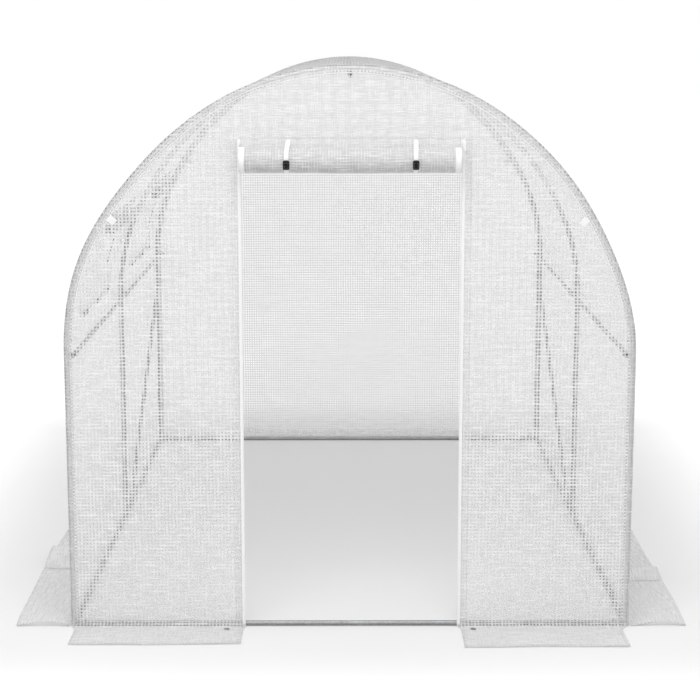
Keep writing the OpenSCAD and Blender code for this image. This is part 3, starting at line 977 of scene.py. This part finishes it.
def rolled_up(start, centre, outer_r, inner_r, turns, sense, steps=44):
    """A sheet seen end on: from its start straight to where it touches the roll, then round and round, its
    radius falling evenly with the turn. Gives the points, and each point's turn round the roll."""
    away = np.subtract(start, centre)
    touch = math.atan2(away[1], away[0]) + sense * math.acos(outer_r / np.linalg.norm(away))
    turn = np.linspace(0, 2 * np.pi * turns, int(steps * turns) + 1)
    radius = outer_r + (inner_r - outer_r) * turn / turn[-1]
    wound = centre + radius[:, None] * points_of(np.cos(touch + sense * turn), np.sin(touch + sense * turn))
    straight = np.linspace(0, 1, 7)[:-1, None]
    return np.concatenate([start + (wound[0] - start) * straight, wound]), np.concatenate([np.zeros(6), turn])


def door_roll(x, path, turn, lift):
    """The door's roll over its width: the end view, tighter under the straps, a little lower in the middle
    and uneven along its length."""
    turn = turn[:, None]
    squeeze = sum(np.exp(-((x - at[1]) / strap_reach) ** 2) for at in strap_x.values())
    loose = sum(size * np.sin(across * x + along * turn) for size, across, along in roll_waves)
    loose = loose - strap_pinch * squeeze + lift / roll_r
    held = np.clip(turn / roll_free, 0, 1)
    scaled = roll_axis + (path - roll_axis)[:, None] * (1 + loose * held)[..., None]
    return points_of(x, scaled[..., 0], scaled[..., 1] - roll_sag * (1 - (x / door_half) ** 2) * held)


roll_path, roll_turn = rolled_up((door_face, door_h - 2 * mm), roll_axis, roll_r, roll_core, roll_turns, -1)
roll_path = np.concatenate([points_of(door_face, np.linspace(door_h + hem_lap, door_h, 4)), roll_path])
roll_turn = np.concatenate([np.zeros(4), roll_turn])
roll_run = run_of(roll_path)
roll_x = np.linspace(-door_half, door_half, 61)[None]
roll_uv = fine_net * points_of(roll_x, roll_run[:, None])
put_sheet("rolled_door_sheet", [grid(door_roll(roll_x, roll_path, roll_turn, 0.0), roll_uv)], sheeting,
          "cover_sheet", "rolled_door", flat=(2 * door_half, roll_run[-1]), held="gathered",
          rests_on=["front_sheet"])
shown = (roll_turn > band_turns[0]) & (roll_turn < band_turns[1])
bindings = []
for sign in sides.values():
    band_x = sign * np.linspace(door_half - band_w, door_half, 4)[None]
    bindings.append(grid(door_roll(band_x, roll_path[shown], roll_turn[shown], band_lift)[::sign],
                         points_of(roll_run[shown][::sign, None], band_x)))
put_sheet("door_bindings", bindings, zip_white, "zip_tape", thickness=band_t,
          flat=(2 * band_w, roll_run[shown][-1]), held="gathered", rests_on=["rolled_door_sheet"])


# Two white webbing straps are sewn into the hem above the doorway and go down in front of the roll and under
# it. Each is held by a buckle.
strap_w = 16 * mm
strap_t = 1.2 * mm
strap_turns = 0.56
strap_slant = 0.09
strap_r = roll_r * 0.985 + 1.6 * mm
strap_axis = roll_axis - (0, 0.6 * roll_sag)
strap_white = white_webbing("strap_white", 1.6 * mm, 0.95)
strap_top = (door_face - 1.5 * mm, door_h - 1 * mm)
strap_path = rolled_up(strap_top, strap_axis, strap_r, strap_r - 0.5 * mm, strap_turns, 1)[0]
strap_at = np.clip(run_of(strap_path) / strap_slant, 0, 1)
straps = [swept(points_of(top_x + (low_x - top_x) * strap_at, strap_path[:, 0], strap_path[:, 1]), (1, 0, 0),
                rounded(strap_w, strap_t, 16)) for top_x, low_x in strap_x.values()]
put("webbing_straps", straps, strap_white, "strap_webbing", "door_straps")


# Each strap is closed by a black moulded buckle in front of the roll: a rim with two bars for the webbing,
# and a clip with two springy arms.
buckle_w = 22 * mm
buckle_l = 34 * mm
buckle_lift = 4.2 * mm
buckle_turn = math.radians(196)
rim_profile = (5 * mm, 4 * mm)
rim_in = 4 * mm
bar_half = (9 * mm, 2 * mm, 2.2 * mm)
bar_at = 10 * mm
clip_half = (6.4 * mm, 6.8 * mm, 2.9 * mm)
clip_out = 0.8 * mm
arm_half = (1.5 * mm, 9 * mm, 2.6 * mm)
arm_x = 8.2 * mm


def moulded_black(name):
    """Black plastic with the fine grain of its mould, shinier where it has been handled."""
    made, tree, surface = new_material(name)
    place = node(tree, "TexCoord", out="Object")
    grain = noise(tree, place, 2200.0, 3.0)
    handled = noise(tree, place, 120.0, 2.0)
    fed(surface, node(tree, "BsdfPrincipled", inputs={
        "Base Color": blended(tree, handled, grey(0.005), grey(0.011)), "Specular IOR Level": 0.18,
        "Roughness": span(tree, handled, 0.0, 1.0, 0.38, 0.6, smooth=False),
        "Normal": relief(tree, grain, 0.25, 0.2 * mm)}))
    return made


outward = np.array([0, math.cos(buckle_turn), math.sin(buckle_turn)])
downward = np.array([0, -outward[2], outward[1]])
buckle_axes = np.array([[1, 0, 0], downward, outward])
rim = rounded(buckle_w - rim_in, buckle_l - rim_in, 40, 6.0) @ buckle_axes[:2]
buckles = []
for ends in strap_x.values():
    middle = np.array([ends[1], *strap_axis]) + outward * (strap_r + buckle_lift)
    buckles.append(swept(middle + rim, outward, rounded(*rim_profile, 10, 3.5), closed=True))
    buckles.append(block(middle + clip_out * outward, buckle_axes, clip_half, 5.0))
    for way in (-1, 1):
        buckles.append(block(middle + way * bar_at * downward, buckle_axes, bar_half, 3.0))
        buckles.append(block(middle + (way * arm_x, 0, 0), buckle_axes, arm_half, 4.0))
put("moulded_buckles", buckles, moulded_black("black_plastic"), "buckle_plastic", "strap_buckles")


# Two windows are cut in the left side, one in each bay. Fine insect net is sewn into each, with a border of
# white tape round it on the inside, and grey hook pads below it to hold the flap when it is let down.
net_pitch = 1.6 * mm
net_t = 0.3 * mm
net_line = (0.06, 0.14)
border_w = 16 * mm
border_t = 0.6 * mm
border_lap = 4 * mm
border_in = -1.2 * mm
pad_at = (-0.245, 0.065, 0.375)
pad_l = 0.14
pad_w = 16 * mm
pad_t = 0.8 * mm
pad_drop = 20 * mm
pad_in = -2.4 * mm


def insect_net(name):
    """Open square net: two sets of fine round threads, with clear air between them."""
    made, tree, surface = new_material(name)
    axes = node(tree, "SeparateXYZ", inputs={0: node(tree, "TexCoord", out="UV")}).node.outputs
    cells = [maths(tree, "DIVIDE", axes[axis], net_pitch) for axis in (0, 1)]
    lines = [span(tree, maths(tree, "PINGPONG", cell, 0.5), *net_line, 1.0, 0.0) for cell in cells]
    there = maths(tree, "MAXIMUM", *lines)
    fed(surface, node(tree, "BsdfPrincipled", inputs={
        "Base Color": (0.80, 0.81, 0.81, 1.0), "Roughness": 0.6, "Normal": relief(tree, there, 0.4, 0.3 * mm),
        "Alpha": there}))
    return made


nets, borders, pads = [], [], []
for bay in bays:
    nets.append(cover_patch(np.linspace(*window_s, 14), bay + window_half * np.linspace(-1, 1, 30), step=-1))
    border_y = bay + (window_half + border_w) * np.linspace(-1, 1, 31)
    for edge, low, high in ((window_s[0], -border_w, border_lap), (window_s[1], -border_lap, border_w)):
        borders.append(cover_patch(edge + np.linspace(low, high, 3), border_y, border_in))
    for sign in (-1, 1):
        border_y = bay + sign * np.linspace(window_half - border_lap, window_half + border_w, 3)
        borders.append(cover_patch(np.linspace(*sorted(window_s), 16), border_y, border_in, turned=True))
    pad_s = window_s[0] - pad_drop + pad_w * np.linspace(-0.5, 0.5, 3)
    pads += [cover_patch(pad_s, bay + at + pad_l * np.linspace(-0.5, 0.5, 9), pad_in) for at in pad_at]
grey_tape = white_webbing("grey_hook_tape", 1.4 * mm, 0.16)
put_sheet("hook_pads", pads, grey_tape, "strap_webbing", thickness=pad_t,
          flat=(2 * len(pad_at) * pad_l, pad_w), held="stretched", rests_on=["roof_sheet"])
put_sheet("window_net_sheets", nets, insect_net("insect_net"), "window_netting", "window_nets",
          thickness=net_t, flat=(4 * window_half, window_tall), held="stretched", rests_on=["roof_sheet"])
put_sheet("window_borders", borders, strap_white, "strap_webbing", thickness=border_t,
          flat=(border_w + border_lap, 4 * (2 * window_half + window_tall + 2 * border_w)),
          held="stretched", rests_on=["roof_sheet"])


# Each window has a flap of the cover sheet on the inside, rolled up under the window's upper edge and held by
# two narrow ties. A third tie hangs loose as a tail, and a dark grey cord runs down the net beside it.
window_roll_r = 21 * mm
window_roll_core = 6 * mm
window_turns = 4.2
window_roll_up = math.radians(24.65)
window_roll_in = cover_r - sag - 4 * mm - window_roll_r
edge_up = math.radians(window_deg[1] + 0.6)
edge_in = cover_r - sag - 2 * mm
tie_w = 12 * mm
tie_t = 0.8 * mm
tie_r = window_roll_r * 1.07
tie_turns = 0.8
tail_y = 0.195
tail_xz = ((-0.884, 1.394), (-1.003, 1.102))
tail_w = 15 * mm
tail_t = 1.0 * mm
tail_across = np.array([0.93, 0, -0.38])
tail_twist = math.radians(65)
cord_y = 0.19
cord_deg = (18.3, 12.2)
cord_in = -4 * mm
cord_d = 4 * mm


def in_section(radius, up):
    """A point of the tunnel's left section: a radius bent as the arch is, at an angle above the rail."""
    radius = arch_radius(radius, up)
    return np.array([-radius * math.cos(up), leg_h + radius * math.sin(up)])


top_edge = in_section(edge_in, edge_up)
flap_axis = in_section(window_roll_in, window_roll_up)
flap_path, flap_turn = rolled_up(top_edge, flap_axis, window_roll_r, window_roll_core, window_turns, 1, 28)
flap_run = run_of(flap_path)
tie_path = rolled_up(top_edge, flap_axis, tie_r, tie_r, tie_turns, 1, 40)[0]
down = np.linspace(0, 1, 15)[:, None]
twist = tail_twist * down
tail_turned = np.cos(twist) * tail_across + np.sin(twist) * np.array([0, 1.0, 0])
cord_s = -cover_r * np.radians(90 - np.linspace(*cord_deg, 9))
rolls, ties, cords = [], [], []
for bay in bays:
    y = bay + window_half * np.linspace(-1, 1, 34)[None]
    loose = 1 + 0.04 * np.sin(19 * y + flap_turn[:, None]) * np.clip(flap_turn / 2, 0, 1)[:, None]
    rolled = flap_axis + (flap_path - flap_axis)[:, None] * loose[..., None]
    rolls.append(grid(points_of(rolled[..., 0] - lean_at(window_roll_up, y), y, rolled[..., 1])[::-1],
                      points_of(y, flap_run[:, None])[::-1]))
    for y in (bay - window_half / 2, bay + window_half / 2):
        path = points_of(tie_path[:, 0] - lean_at(window_roll_up, y), y, tie_path[:, 1])
        ties.append(swept(path, (0, 1, 0), rounded(tie_w, tie_t, 12)))
    top, low = (np.array([x, bay + tail_y, z]) for x, z in tail_xz)
    ties.append(swept((1 - down) * top + down * low, tail_turned, rounded(tail_w, tail_t, 12)))
    cords.append(swept(on_cover(cord_s, bay + cord_y, cord_in), (0, 1, 0), rounded(cord_d, cord_d, 8, 2.0)))
put_sheet("window_flap_rolls", rolls, sheeting, "cover_sheet", "window_rolls",
          flat=(4 * window_half, flap_run[-1]), held="gathered", rests_on=["roof_sheet"])
put("window_ties", ties, zip_white, "strap_webbing")
put("net_cords", cords, grey_tape, "strap_webbing")


# Short tabs of white webbing are sewn to the end sheets over the front and rear hoops, one on each shoulder,
# as places to tie the cover down.
tab_r = {"left": 0.9596, "right": 0.9449}
tab_tilt = {"left": math.radians(-41), "right": math.radians(52)}
tab_up = math.radians(30)
tab_l = 30 * mm
tab_w = 25 * mm
tab_t = 1.2 * mm
tab_out = 2.6 * mm
tab_arch = 0.8 * mm
tabs = []
run = np.linspace(-1, 1, 13)[:, None]
for end in (-1, 1):
    for side, sign in sides.items():
        middle = np.array([sign * tab_r[side] * math.cos(tab_up), end * (end_y + tab_out),
                           leg_h + tab_r[side] * math.sin(tab_up)])
        lengthwise = np.array([math.cos(tab_tilt[side]), 0, math.sin(tab_tilt[side])])
        path = middle + lengthwise * run * tab_l / 2 + np.array([0, end * tab_arch, 0]) * (1 - run ** 2)
        tabs.append(swept(path, np.cross(lengthwise, (0, 1, 0)), rounded(tab_w, tab_t, 20)))
put("sewn_tabs", tabs, strap_white, "strap_webbing", "tie_tabs")


# A pressed metal eyelet in each front flap takes a ground peg. It is a rolled ring above and below the sheet,
# joined by a short neck through it.
eyelet_low, eyelet_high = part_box("peg_eyelets")
eyelet_bore = 5 * mm
eyelet_flange = 10 * mm
eyelet_z = ground + 1.6 * mm
eyelet_y = (eyelet_low.y + eyelet_high.y) / 2
eyelet_x = eyelet_high.x - eyelet_flange
neck_curl = (1.2 * mm, 1.5 * mm)
rim_curl = (1.0 * mm, 1.3 * mm)
curl = np.linspace(0, np.pi, 9)
ring_r = np.concatenate([eyelet_bore + neck_curl[0] * (1 - np.sin(curl)),
                         eyelet_flange - rim_curl[0] * (1 - np.sin(curl))])[:, None]
ring_z = np.concatenate([neck_curl[1] * np.cos(curl), -rim_curl[1] * np.cos(curl)])[:, None]
spin = circle(40)
eyelets = [grid(points_of(x + ring_r * np.cos(spin), eyelet_y + ring_r * np.sin(spin), eyelet_z + ring_z),
                wrap=(True, True), solid=True) for x in (-eyelet_x, eyelet_x)]
put("pressed_eyelets", eyelets, galvanised("eyelet_metal"), "eyelet_metal", "peg_eyelets")
